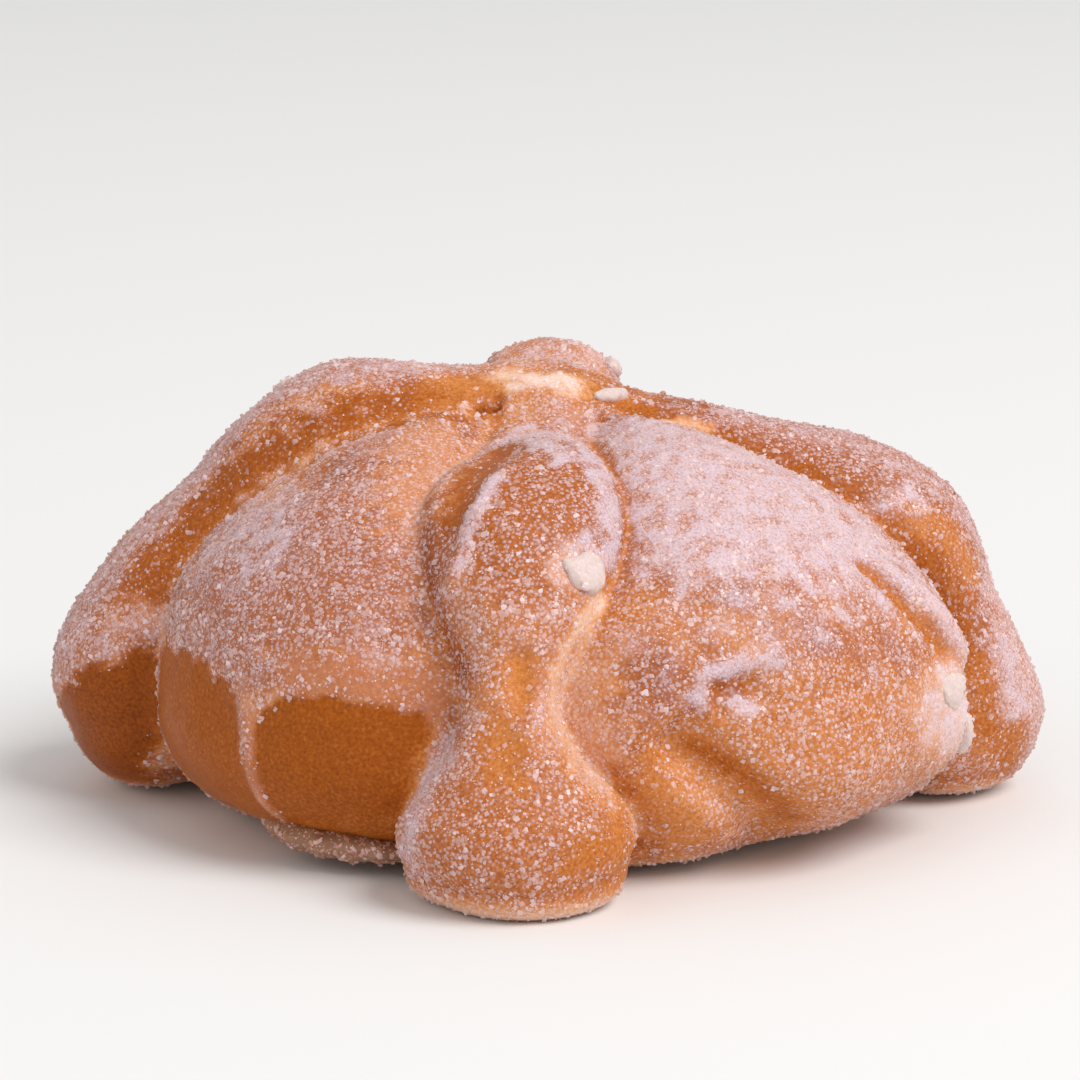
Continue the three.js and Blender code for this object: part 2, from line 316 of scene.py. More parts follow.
# how far inside a ring of places each way is, in millimetres, and negative outside: the gap to its edge,
# inside where a level line from the way crosses that edge an odd number of times
def depthIn(ring, azimuth, lift, ways, reach):
    gap = gapTo(ring + ring[:1], ways, reach)
    inside = np.zeros(len(ways), bool)
    middle = ring[0][0]
    across = turnBetween(middle, azimuth)
    for (a, b), (c, d) in zip(ring, ring[1:] + ring[:1]):
        a, c = turnBetween(middle, a), turnBetween(middle, c)
        slope = (c - a) / (d - b) if d != b else 0.0
        inside ^= ((b > lift) != (d > lift)) & (across < a + slope * (lift - b))
    return np.where(inside, gap, -gap)


# the crust: from the heart, each way walks in by the distance field until it meets the crust
def solveCrust():
    g = breadGrid
    turns = np.arange(g["columns"]) * 360 / g["columns"]
    spacing = (90 - g["lowestLift"]) / g["rows"]
    upper = g["lowestLift"] + spacing * np.arange(g["rows"])
    lower = np.linspace(-90, g["lowestLift"], g["footRows"] + 1)[1:-1]
    lifts = np.concatenate([lower, upper])
    lift, azimuth = [a.ravel() for a in np.meshgrid(lifts, turns, indexing="ij")]
    azimuth, lift = np.append(azimuth, [0, 0]), np.append(lift, [-90, 90])  # the two poles come last
    ways = wayTo(azimuth, lift)
    reach = np.full(len(ways), g["farthest"])
    for step in range(g["steps"]):
        reach -= g["stride"] * crustField(heart + ways * reach[:, None])[0]
    crease = crustField(heart + ways * reach[:, None])[1]
    for hollow in hollows:
        reach -= hollow["depth"] * bell(gapTo(hollow["along"], ways, reach) / hollow["width"])
    quads, fans = skinFaces(len(lifts), g["columns"])
    return dict(azimuth=azimuth, lift=lift, ways=ways, reach=reach, crease=crease, quads=quads, fans=fans)


crust = solveCrust()

# unevenness of the baked skin: size of its waves, how far they stand out and their seed
relief = [(18, 0.30, 40), (8, 0.08, 41), (3, 0.03, 42)]
for size, depth, seed in relief:
    crust["reach"] += depth * clouds(heart + crust["ways"] * crust["reach"][:, None], size, seed)
crust["points"] = heart + crust["ways"] * crust["reach"][:, None]
crust["points"][:, 2] = np.maximum(crust["points"][:, 2], 0)
print("crust solved:", len(crust["points"]), "points")

# Strokes of browning, painted shade and sugar over the crust, painted in order. Each moves the maps that it
# names towards a value, along a line of places or inside a ring of them; width, soft and ragged are in
# millimetres.
# The browning goes from 0 for pale dough to 1 for deep brown, and a few strokes raise it to paint shade into
# creases and hollows; frost is fine sugar, grains are coarse ones, glaze is melted sugar.
strokes = [
    # front right quarter: heavy towards the top, thin and orange below, bare in the fold
    dict(ring=[(292, 66), (312, 74), (330, 66), (336, 52), (338, 38), (338, 27), (334, 14), (318, 15),
               (300, 20), (287, 26)], soft=5, ragged=2, frost=0.95, grains=0.8, bakeAndShade=0.64),
    dict(ring=[(286, 2), (300, 6), (318, 5), (331, 6), (333, -12), (313, -18), (298, -16), (286, -14)],
         soft=4, ragged=2, frost=0.24, grains=0.72, bakeAndShade=0.56),
    dict(along=[(290.4, -0.5), (294.3, -4.1), (299.2, -9), (306, -14)], width=3, soft=2.5, ragged=1,
         frost=0.05, grains=0.35, bakeAndShade=0.49),
    dict(along=[(285, -6), (290, -12)], width=4, soft=4, ragged=1, frost=0.03, grains=0.28, bakeAndShade=0.5),
    # painted shade: a darker band along the fold, under the overhang of the quarter above it
    dict(along=[(290.6, -0.8), (294.7, -3), (297.6, -4.9), (301.2, -8.1), (306.7, -12.5)], width=0.9,
         soft=1.4, ragged=0.3, frost=0, grains=0.1, bakeAndShade=0.7),
    dict(along=[(289, -5), (294.7, -9.4), (300, -14)], width=1.2, soft=1.6, ragged=0.8, frost=0.3,
         grains=0.55, bakeAndShade=0.46),
    # the print's rim, its bare hollow and a clump below it
    dict(along=[(290.6, 6.2), (291.7, 8.7), (294.4, 9.9), (298.2, 10.6), (301.9, 11.2)], width=1.2, soft=0.9,
         ragged=0.4, frost=1, grains=0.8),
    dict(along=[(294, 7.4), (296.5, 6.6)], width=0.8, soft=0.9, ragged=0.3, frost=0, grains=0.1, bakeAndShade=0.76),
    dict(along=[(295.6, 5.2), (297.4, 4.5)], width=1, soft=0.8, ragged=0.3, frost=1, grains=1),
    # the groove beside the right bone, and the white band and smear beyond it
    dict(along=[(325, 22), (327.2, 17), (329.6, 13.6), (332.6, 9), (334.5, 5.6)], width=1.8, soft=1,
         ragged=0.4, frost=1, grains=0.9),
    dict(along=[(323, 19.5), (324.8, 16), (326, 12.5), (328, 9.2), (331, 5.6)], width=0.8, soft=0.7,
         ragged=0.3, frost=0.08, grains=0.15, bakeAndShade=0.6),
    dict(ring=[(321, 1), (326, 4.5), (332, 5), (335, 1), (336, -6), (331, -8), (325, -5)], soft=2.6,
         ragged=0.6, frost=0.8, grains=0.25, bakeAndShade=0.36),
    dict(along=[(330.2, 1.8), (333, -1.5), (335.5, -5)], width=2.4, soft=2.2, ragged=0.6, frost=1,
         grains=0.6, bakeAndShade=0.2),
    # right bone: a bare amber strip along its crease, sugar along its ridge, a white cluster
    dict(along=[(350, 70), (350, 50), (350, 36), (350, 22)], width=8, soft=4, ragged=1.5, frost=0.3,
         grains=0.8, bakeAndShade=0.74),
    dict(along=[(317, 77), (336, 68), (338, 59), (340, 51), (341, 42), (342, 36), (341.5, 31), (342.5, 25),
                (343.5, 19), (345, 13), (346.5, 7), (347, 1.5)], width=2.2, soft=1.6, ragged=0.8,
         frost=0.03, grains=0.3, bakeAndShade=0.74),
    dict(along=[(356, 66), (355, 54), (355, 42), (354, 32), (354, 25), (353, 18), (355, 10), (355, 3),
                (355, -3)], width=3.5, soft=3, ragged=1.5, frost=0.64, grains=1, bakeAndShade=0.7),
    dict(along=[(0, 8), (358, 0), (0, -8)], width=7, soft=4, ragged=2, frost=0.72, grains=0.95, bakeAndShade=0.6),
    dict(along=[(345, 24), (347.5, 18), (350, 13)], width=2.2, soft=1.8, ragged=0.6, frost=0.16, grains=0.4,
         bakeAndShade=0.57),
    dict(along=[(348.4, 1), (348.4, -8)], width=1.2, soft=1.2, ragged=0.5, frost=0.05, grains=0.25,
         bakeAndShade=0.62),
    dict(along=[(351.5, -9), (353, -12)], width=1.8, soft=1.6, ragged=0.5, frost=0.05, grains=0.18,
         bakeAndShade=0.64),
    dict(along=[(352.3, 3), (352.2, -5)], width=1.6, soft=1.4, ragged=0.6, frost=0.95, grains=1),
    dict(along=[(344.1, 26.4), (347, 24.6)], width=1.6, soft=1.4, ragged=0.6, frost=1, grains=1),
    # front bone, from its top band of sugar down to its foot
    dict(ring=[(252, 60), (284, 61), (284, 44), (283, 34), (282, 22), (259, 15), (252, 25), (251, 42)],
         soft=2, ragged=0.8, frost=0.18, grains=0.64, bakeAndShade=0.71),
    dict(ring=[(253, 1), (262, 3), (273, 1), (279, -6), (279, -17), (253, -17)], soft=2, ragged=1,
         frost=0.22, grains=0.6, bakeAndShade=0.66),
    dict(along=[(256, 60), (268, 64), (281, 60), (284, 46), (284, 36), (282, 28)], width=2.6, soft=1.6,
         ragged=1, frost=1, grains=0.7),
    dict(along=[(258, 61), (264, 57), (270, 51.5), (273, 46.5)], width=1.8, soft=1.4, ragged=0.8, frost=1,
         grains=0.85),
    dict(along=[(291, 62), (288.6, 50.7), (287.7, 45.2), (286.3, 37.4), (284.7, 29.4), (282.7, 24.2)],
         width=0.7, soft=0.8, ragged=0.3, frost=0.15, grains=0.4, bakeAndShade=0.68),
    dict(along=[(273.5, 28), (277, 29.5)], width=1, soft=1.4, ragged=0.3, frost=0.8, grains=0.4),
    dict(along=[(273.4, 24.6), (276.4, 24)], width=2.2, soft=1.8, ragged=0.5, frost=0.85, grains=0.5,
         bakeAndShade=0.35),
    dict(ring=[(252, 58), (262, 55), (259.5, 42), (257, 31), (250, 30), (249, 45)], soft=1.2, ragged=0.4,
         frost=0.1, grains=0.12, bakeAndShade=0.74),
    dict(along=[(260.7, 39.5), (258.8, 33.5), (257.7, 28), (256.8, 21.6)], width=1, soft=0.6, ragged=0.4,
         frost=1, grains=1),
    # painted shade: darker crust in the crease along the front bone's left side, where the bone keeps light
    # off
    dict(along=[(241.5, 43.5), (247.8, 33), (250, 26.4), (252.6, 20.4), (255.4, 15.4), (258.4, 10.4)],
         width=1.5, soft=1.5, ragged=0.5, frost=0.08, grains=0.45, bakeAndShade=0.86),
    dict(along=[(258, 20), (262, 14), (272, 18)], width=3, soft=3, ragged=1, frost=0.4, grains=0.9,
         bakeAndShade=0.6),
    dict(along=[(266.5, 12), (266.7, 7.5)], width=1.7, soft=1.0, ragged=0.3, frost=0.03, grains=0.06,
         bakeAndShade=0.53),
    dict(along=[(264.7, 4), (265, 0.8), (266, -1)], width=1.8, soft=1.6, ragged=0.6, frost=0.08,
         grains=0.18, bakeAndShade=0.56),
    dict(along=[(278.5, 21.4), (273.7, 15), (272, 11.2), (271.2, 6.5), (272.2, 3), (273.8, 0)], width=0.9,
         soft=0.9, ragged=0.3, frost=0.25, grains=0.2, bakeAndShade=0.14),
    dict(along=[(273.8, 0), (275.5, -2.6), (278, -4.9), (280, -7), (281.5, -9.4), (283, -13)], width=0.7,
         soft=1, ragged=0, frost=0.35, grains=0.5, bakeAndShade=0.24),
    dict(along=[(276, 10), (275.6, 5), (277, 0)], width=3, soft=2.4, ragged=0.5, frost=0.3, grains=0.65,
         bakeAndShade=0.36),
    dict(along=[(274, -9.5), (278.5, -8.5), (279, -14)], width=1.8, soft=2, ragged=0.8, frost=0.05,
         grains=0.25, bakeAndShade=0.6),
    dict(along=[(257, 0), (254, -5), (254, -11)], width=2, soft=1.5, ragged=0.8, frost=0.8, grains=0.9),
    # front left quarter: sugar above the tide line, bare crust and a drip of glaze below it
    dict(ring=[(206, 26), (212, 31), (232, 36), (248, 30), (250, 14), (236, 12), (222, 8), (206, 9)],
         soft=4, ragged=2, frost=0.44, grains=0.78, bakeAndShade=0.72),
    dict(along=[(243, 36), (238, 46), (230, 54)], width=4, soft=4, ragged=1.5, frost=0.5, grains=0.5,
         bakeAndShade=0.5),
    dict(along=[(208, 22), (214, 28), (220, 24)], width=4, soft=4, ragged=2, frost=0.85, grains=0.9),
    dict(along=[(222.6, 26.4)], width=1.1, soft=1.4, ragged=0.6, frost=1, grains=1),
    dict(along=[(233.4, 28.3)], width=0.5, soft=0.6, ragged=0.2, frost=1, grains=1),
    dict(along=[(206, 9), (218, 9), (226, 7), (233, 8)], width=2.2, soft=1.6, ragged=1, frost=0.55,
         grains=0.95, bakeAndShade=0.7),
    dict(along=[(236, 8), (242, 8), (248, 8), (254, 6)], width=2.6, soft=2, ragged=0.8, glaze=0.9,
         frost=0.3, grains=0.35, bakeAndShade=0.68),
    dict(ring=[(203, 6.4), (212, 6.6), (218, 6.6), (223, 4.9), (226.4, 3), (227.3, -4), (228.3, -11),
               (229, -18), (205, -18), (200, -5)], soft=0.5, ragged=0.5, glaze=0, frost=0, grains=0,
         bakeAndShade=0.76),
    dict(ring=[(229.5, 1), (230.5, 3.3), (233.5, 4.8), (238, 5.8), (242.5, 5.6), (247, 5), (252.5, 3.5),
               (254, 1), (252, -5), (250, -18), (230, -18), (229.2, -8)], soft=0.4, ragged=0.3, glaze=0,
         frost=0, grains=0, bakeAndShade=0.77),
    dict(along=[(204, -15), (220, -16), (236, -16), (249, -14)], width=1.5, soft=4, ragged=0.5, bakeAndShade=0.6),
    dict(along=[(255, 2), (252.4, -3), (251, -9), (250.4, -14)], width=1, soft=1.8, ragged=0.3, bakeAndShade=0.5),
    dict(along=[(226.8, 4), (228.3, -2), (228.6, -8), (229, -13)], width=0.8, soft=0.7, ragged=0.3, glaze=1,
         frost=0.4, grains=0.25),
    dict(along=[(227, 5), (227.8, 1)], width=1.3, soft=0.7, ragged=0.3, glaze=0.9, frost=0.4, grains=0.4),
    # left bone: bare flank along its crease, sugared ridge, bare knob below a slanting tide line
    dict(along=[(181, 66), (180, 58), (176, 49), (176, 41), (178, 34)], width=5, soft=3, ragged=1.8,
         frost=0.66, grains=0.95, bakeAndShade=0.68),
    dict(along=[(178, 34), (180, 24), (182, 15), (183, 8), (184.5, 2)], width=4, soft=2.4, ragged=1.5,
         frost=0.66, grains=0.95, bakeAndShade=0.68),
    dict(along=[(212, 69), (208, 62), (203.5, 53), (198.4, 43.6), (192.6, 34), (190.4, 26), (190, 20),
                (190.6, 13)], width=2.8, soft=2, ragged=1.2, frost=0.05, grains=0.3, bakeAndShade=0.76),
    dict(ring=[(181, -6), (188, -2), (190, 0.4), (191.5, 2), (193, 3.5), (197, 2), (199, -3), (196, -9),
               (192, -14), (188, -18), (180, -18)], soft=0.5, ragged=0.6, frost=0, grains=0, bakeAndShade=0.86),
    dict(along=[(196, 8), (195.4, 3), (195.4, -4), (194.4, -10), (191, -15)], width=0.4, soft=0.7,
         ragged=0.2, frost=0.4, grains=0.6, bakeAndShade=0.34),
    # crossing: pale smooth dough, and painted shade darkening the pit at the left bone's inner end
    dict(along=[(207, 66), (208, 73), (211, 77)], width=2.4, soft=1.3, ragged=0.5, frost=0.05, grains=0.1,
         bakeAndShade=0.66),
    dict(along=[(335, 82), (0, 74), (358, 68), (356, 61)], width=2.2, soft=1.4, ragged=0.8, frost=0.05,
         grains=0.35, bakeAndShade=0.76),
    dict(along=[(319, 76.8), (332.6, 72), (338.3, 66.2)], width=1, soft=0.8, ragged=0.3, frost=0,
         grains=0.08, bakeAndShade=0.68),
    dict(along=[(334.5, 61.5), (336.7, 58.6), (338.7, 54.6)], width=0.6, soft=0.7, ragged=0.3, frost=0.25,
         grains=0.25, bakeAndShade=0.28),
    dict(along=[(245, 80.5), (298, 79.5)], width=1.2, soft=1.2, ragged=0.4, frost=0.5, grains=0.4, bakeAndShade=0.2),
    dict(along=[(206, 80), (228, 81.5), (257, 82.6), (306, 80.4)], width=1, soft=2.1, ragged=0.4, frost=0.45,
         grains=0.3, bakeAndShade=0.15),
    dict(along=[(70, 74), (92, 76), (116, 74)], width=4, soft=3, ragged=1, frost=0.62, grains=0.85,
         bakeAndShade=0.6),
    # painted shade: near-black brown inside the pit under the left bone's inner end
    dict(along=[(221, 71.4), (225, 73), (229.5, 74.4)], width=0.7, soft=0.5, ragged=0.2, frost=0, grains=0.1,
         bakeAndShade=0.97),
    # hidden side
    dict(ring=[(108, -7), (114, 1), (122, 5), (132, 7), (143, 4), (150, -2), (152, -9), (147, -18),
               (116, -18)], soft=0.6, ragged=0.9, frost=0, grains=0, bakeAndShade=0.76),
    dict(along=[(30, 30), (50, 40), (60, 25)], width=9, soft=6, ragged=2, frost=0.9, grains=0.8),
    dict(along=[(120, 40), (140, 30)], width=8, soft=6, ragged=2, frost=0.85, grains=0.7),
]

# the coat before the strokes: each map's mean, and its clouds as their spread, size and seed
coating = dict(
    bakeAndShade=(0.63, [(0.04, 20, 63), (0.04, 6, 64)]),
    frost=(0.4, [(0.12, 15, 65), (0.1, 5, 66)]),
    grains=(0.65, [(0.08, 9, 67), (0.12, 3, 68)]),
    glaze=(0.0, []),
    ragged=(0.0, [(0.7, 3.5, 61), (0.5, 1.4, 62)]),  # of the strokes' edges
    streaks=(1.0, [(0.14, 2.6, 69)]),  # of the frost
    lowLifts=(-16, 2), lowFrost=0.45,  # share of the frost on the low side
    creasePaling=0.15, footPaling=0.5, footHeights=(4, 0.6),
    ringGrains=0.6, ringTop=(3, 1.2), ringFoot=(0.3, 1.0),  # a ring of grains just above the floor
    veil=(0.1, 0.17),  # by the frost and by its square
    thickness=0.28, thickFrost=(0.05, 0.5), thickGlaze=0.8, thickHeights=(0.5, 3),
)


# how much of each map's value a stroke lays on: all of it well inside its line or ring, fading at the edge
def coverOf(stroke, waviness):
    ways, reach = crust["ways"], crust["reach"]
    if "ring" in stroke:
        inside = depthIn(stroke["ring"], crust["azimuth"], crust["lift"], ways, reach)
    else:
        inside = stroke["width"] - gapTo(stroke["along"], ways, reach)
    return smoothStep(-stroke["soft"], stroke["soft"], inside + stroke["ragged"] * waviness)


# a mean with clouds on top of it
def cloudy(points, mean, parts):
    values = np.full(len(points), mean)
    for spread, size, seed in parts:
        values += spread * clouds(points, size, seed)
    return values


# the maps: an even coat with cloudy patches and less frost low down, then the strokes, then paler creases
# and foot, grains just above the floor, streaks in the frost and a veil that grows with it
def paintMaps():
    c, points, height = coating, crust["points"], crust["points"][:, 2]
    waviness = cloudy(points, *c["ragged"])
    maps = {name: cloudy(points, *c[name]) for name in ("bakeAndShade", "frost", "grains", "glaze")}
    maps["frost"] *= c["lowFrost"] + (1 - c["lowFrost"]) * smoothStep(*c["lowLifts"], crust["lift"])
    for stroke in strokes:
        cover = coverOf(stroke, waviness)
        for name in maps.keys() & stroke.keys():
            maps[name] += (stroke[name] - maps[name]) * cover
    footPaling = c["footPaling"] * smoothStep(*c["footHeights"], height)
    maps["bakeAndShade"] -= c["creasePaling"] * crust["crease"] + footPaling
    change = (c["ringGrains"] - maps["grains"]) * smoothStep(*c["ringTop"], height)
    maps["grains"] += change * smoothStep(*c["ringFoot"], height)
    maps["frost"] *= cloudy(points, *c["streaks"])
    maps["veil"] = c["veil"][0] * maps["frost"] + c["veil"][1] * maps["frost"] ** 2
    return {name: np.clip(values, 0, 1) for name, values in maps.items()}


crust["maps"] = paintMaps()
print("maps painted:", len(strokes), "strokes")


# the coat of sugar and glaze stands up a little from the bare crust, the more the thicker it lies, but not
# at the foot
def raiseCoat():
    c, maps, points = coating, crust["maps"], crust["points"]
    coat = np.maximum(smoothStep(*c["thickFrost"], maps["frost"]), c["thickGlaze"] * maps["glaze"])
    coat *= smoothStep(*c["thickHeights"], points[:, 2])
    points += crust["ways"] * (c["thickness"] * coat)[:, None]


raiseCoat()


# egg-washed bread crust, baked: a satin skin, brown where the heat reached and pale in the folds, with
# painted shade darkening a few creases and hollows, finely speckled, veiled in lilac white by sugar dust,
# and shiny where the sugar melted
crustFinish = dict(
    browning=[(0.0, "#f1d5c4"), (0.22, "#e6b18a"), (0.48, "#d08242"), (0.72, "#a9570f"), (1.0, "#783405")],
    dust="#dfd3e3", glaze="#c98259", glazing=0.5,
    frosting=0.68, beading=0.48,  # most of the dust's colour as dust and as beads
    speckle=0.42, speckling=0.55, dustSize=0.34, beadSize=0.56,  # sizes in millimetres
    dustHeap=0.55, dustEdge=(0.78, 1.14), beadChance=1.7, beadEdge=(1.0, 1.6), beadRim=(0.55, 0.15),
    roughness=0.45, dustRoughness=0.6, glazeRoughness=0.25, gloss=0.15, bumpHeight=0.12, bumpStrength=0.5,
)


# the crust's colour at a tone from pale to brown
def browningOf(tree, tone):
    ramp = addNode(tree, "ShaderNodeValToRGB", {"Fac": tone})
    stops = ramp.color_ramp.elements
    while len(stops) < len(crustFinish["browning"]):
        stops.new(0.5)
    for stop, (at, colour) in zip(stops, crustFinish["browning"]):
        stop.position, stop.color = at, linear(colour)
    return ramp.outputs["Color"]


# maps that the crust's material reads
crustMaps = ("bakeAndShade", "frost", "grains", "glaze", "veil")


# the crust's material: its browning with painted shade in it, and glaze, veil, dust and beads mixed over it
# in turn
def makeCrustMaterial():
    f = crustFinish
    material, tree, shader = startMaterial("egg-washed bread crust")
    place = addNode(tree, "ShaderNodeTexCoord").outputs["Object"]
    bakeAndShade, frost, grains, glaze, veil = [
        addNode(tree, "ShaderNodeAttribute", attribute_name=name).outputs["Fac"] for name in crustMaps]
    speckle, dust = [
        addNode(tree, "ShaderNodeTexNoise", {"Vector": place, "Scale": 1 / (f[size] * mm), "Detail": 3.0})
        for size in ("speckle", "dustSize")]
    speckle, dust = speckle.outputs["Fac"], dust.outputs["Fac"]
    # the skin's tone is its browning with painted shade, moved to either side by the speckle, whose mean is
    # a half
    shift = addNode(tree, "ShaderNodeMath", {0: speckle, 1: 0.5}, operation="SUBTRACT").outputs[0]
    tone = addNode(tree, "ShaderNodeMath", {0: shift, 1: f["speckling"], 2: bakeAndShade}, operation="MULTIPLY_ADD")
    glazed = addNode(tree, "ShaderNodeMath", {0: glaze, 1: f["glazing"]}, operation="MULTIPLY").outputs[0]
    colour = browningOf(tree, tone.outputs[0])
    for share, over in ((glazed, f["glaze"]), (veil, f["dust"])):
        colour = addNode(tree, "ShaderNodeMix", {0: share, 6: colour, 7: linear(over)},
                         data_type="RGBA").outputs[2]
    # fine dust shows where its noise rises above what the frost leaves bare
    heap = addNode(tree, "ShaderNodeMath", {0: frost, 1: f["dustHeap"], 2: dust},
                   operation="MULTIPLY_ADD").outputs[0]
    low, high = f["dustEdge"]
    dusted = addNode(tree, "ShaderNodeMapRange",
                     {"Value": heap, "From Min": low, "From Max": high, "To Max": f["frosting"]},
                     interpolation_type="SMOOTHSTEP").outputs["Result"]
    # grains sunk in the coat are soft round beads, in more of the cells the more grains there are
    cells = addNode(tree, "ShaderNodeTexVoronoi", {"Vector": place, "Scale": 1 / (f["beadSize"] * mm)})
    chance = addNode(tree, "ShaderNodeMath", {0: grains, 1: f["beadChance"], 2: cells.outputs["Color"]},
                     operation="MULTIPLY_ADD").outputs[0]
    low, high = f["beadEdge"]
    filled = addNode(tree, "ShaderNodeMapRange",
                     {"Value": chance, "From Min": low, "From Max": high, "To Max": f["beading"]},
                     interpolation_type="SMOOTHSTEP").outputs["Result"]
    outer, inner = f["beadRim"]
    rounded = addNode(tree, "ShaderNodeMapRange",
                      {"Value": cells.outputs["Distance"], "From Min": outer, "From Max": inner},
                      interpolation_type="SMOOTHSTEP").outputs["Result"]
    beaded = addNode(tree, "ShaderNodeMath", {0: filled, 1: rounded}, operation="MULTIPLY").outputs[0]
    sugared = addNode(tree, "ShaderNodeMath", {0: dusted, 1: beaded}, operation="MAXIMUM").outputs[0]
    colour = addNode(tree, "ShaderNodeMix", {0: sugared, 6: colour, 7: linear(f["dust"])},
                     data_type="RGBA").outputs[2]
    rough = addNode(tree, "ShaderNodeMix", {0: glaze, 2: f["roughness"], 3: f["glazeRoughness"]}).outputs[0]
    rough = addNode(tree, "ShaderNodeMix", {0: sugared, 2: rough, 3: f["dustRoughness"]}).outputs[0]
    relieved = addNode(tree, "ShaderNodeMath", {0: sugared, 1: speckle}, operation="ADD").outputs[0]
    bump = addNode(tree, "ShaderNodeBump", {"Height": relieved, "Strength": f["bumpStrength"],
                                            "Distance": f["bumpHeight"] * mm}).outputs[0]
    for name, socket in (("Base Color", colour), ("Roughness", rough), ("Normal", bump)):
        tree.links.new(socket, shader.inputs[name])
    shader.inputs["Specular IOR Level"].default_value = f["gloss"]
    return material


bread = makePiece("bread", crust["points"], [crust["quads"], crust["fans"]], makeCrustMaterial())
for name in crustMaps:
    addAttribute(bread, name, crust["maps"][name])
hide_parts("bread")
crust["normals"] = normalsOf(crust["points"], crust["quads"])

# Caked sugar: lumps half sunk in the crust, and the ledge on the foot.
# lumps: azimuth, lift, the length, width and height in millimetres, and how many loose grains stick to it
lumps = [
    (276.4, 24, (5.2, 5.6, 2.1), 0.3),  # at the front bone's upper knob
    (329, 74.2, (6, 2, 1.7), 0.15),  # beside the crossing
    (330.2, 1.8, (4.2, 5, 1.5), 0.5),  # beside the crease of the right bone
    (335.5, -5, (3, 4.4, 2), 0.6),  # below it
    (251.5, -17, (3, 4.8, 3), 1.0),  # at the front bone's toe
]
hiddenLumps = dict(count=7, azimuths=(20, 170), lifts=(5, 60), sizes=(2.6, 4.6), flatness=0.6,
                   graininess=0.6, seed=7)
lumpGrid = dict(columns=30, rows=15, boxiness=0.8, taper=0.35, droop=0.035,
                crag=((4.5, 0.12), (1.3, 0.04)), seed=100)
ledge = dict(azimuths=(221, 250), runs=(44.6, 43.2), heights=(4.4, 2.8), thicks=(2.6, 1.6), width=4.0,
             columns=40, rows=120, graininess=0.8,
             lowDampAndShade=0.85, moreDampAndShade=0.15, dampAndShadeHeights=(3, 6),  # damper and deeper in painted shade towards its top
             crag=((4.0, 0.08), (1.4, 0.03), (0.7, 0.015)), seed=90)


# the solid's own draws for its lumps, a 32-bit mixing of a stepping seed, whose first number it leaves out
def drawnLikeSolid(seed, count):
    low = 0xffffffff
    drawn = []
    for i in range(count + 1):
        seed = (seed + 0x6d2b79f5) & low
        mixed = (seed ^ seed >> 15) * (seed | 1) & low
        mixed ^= mixed + ((mixed ^ mixed >> 7) * (mixed | 61)) & low
        drawn.append(((mixed ^ mixed >> 14) & low) / 2**32)
    return drawn[1:]


# rows for the lumps of the hidden side: each value lies evenly within its span, drawn in the solid's order
def hiddenLumpRows():
    h = hiddenLumps
    drawn = iter(drawnLikeSolid(h["seed"], 4 * h["count"]))
    between = lambda span: span[0] + (span[1] - span[0]) * next(drawn)
    rows = []
    for i in range(h["count"]):
        length = between(h["sizes"])
        azimuth, lift, width = between(h["azimuths"]), between(h["lifts"]), between(h["sizes"])
        rows.append((azimuth, lift, (length, width, h["flatness"] * length), h["graininess"]))
    return rows


# points pushed out from a middle line by uneven waves, each so long and so far as a share of their distance
def craggy(points, middles, crag, seed):
    push = sum(depth * clouds(points, size, seed + i) for i, (size, depth) in enumerate(crag))
    return points + (points - middles) * push[:, None]


# a lump: a ball with squared-off rounds, narrower at its lower end, stretched to its size, its edge bent
# down by the square of the distance, its top turned to the crust's normal and its length level along the
# slope
def lumpSkin(azimuth, lift, size, seed):
    g = lumpGrid
    nearest = (crust["ways"] @ wayTo(azimuth, lift)).argmax()
    middle, normal = crust["points"][nearest], crust["normals"][nearest]
    around = np.arange(g["columns"]) * 2 * np.pi / g["columns"]
    rise = (np.arange(1, g["rows"] + 1) / (g["rows"] + 1) - 0.5) * np.pi
    squared = lambda wave: np.sign(wave) * np.abs(wave) ** g["boxiness"]
    rise, around = [a.ravel() for a in np.meshgrid(rise, around, indexing="ij")]
    level, up = squared(np.cos(rise)), squared(np.sin(rise))
    ball = np.stack([level * squared(np.cos(around)), level * squared(np.sin(around)), up], -1)
    ball = np.vstack([ball, (0, 0, -1), (0, 0, 1)])
    ball[:, 0] *= 1 + g["taper"] * ball[:, 1]
    ball *= np.array(size) / 2
    ball[:, 2] -= g["droop"] * (ball[:, 0] ** 2 + ball[:, 1] ** 2)
    sideways = np.cross((0, 0, 1), normal)
    sideways /= np.linalg.norm(sideways)
    turned = ball @ np.array([sideways, np.cross(normal, sideways), normal])
    points = craggy(turned, 0, g["crag"], seed) + middle
    return points, skinFaces(g["rows"], g["columns"])


# the ledge: an oval carried along an arc on the foot, swelling from nothing at one end and back at the other
def ledgeSkin():
    g = ledge
    share = np.arange(1, g["rows"] + 1) / (g["rows"] + 1)
    around = np.arange(g["columns"]) * 2 * np.pi / g["columns"]
    share, around = [a.ravel() for a in np.meshgrid(share, around, indexing="ij")]
    share, around = np.append(share, [0, 1]), np.append(around, [0, 0])  # the two ends come last
    azimuth, run, height, thick = [
        g[name][0] + (g[name][1] - g[name][0]) * share for name in ("azimuths", "runs", "heights", "thicks")]
    azimuth = np.radians(azimuth)
    swell = np.sqrt(np.abs(np.sin(np.pi * share)))
    outward = np.stack([np.cos(azimuth), np.sin(azimuth), 0 * azimuth], -1)
    upward = np.array([0, 0, 1])
    middles = outward * run[:, None] + upward * height[:, None]
    rise = upward * (thick * swell * np.cos(around))[:, None]
    points = middles + rise + outward * (g["width"] * swell * np.sin(around))[:, None]
    return craggy(points, middles, g["crag"], g["seed"]), skinFaces(g["rows"], g["columns"])


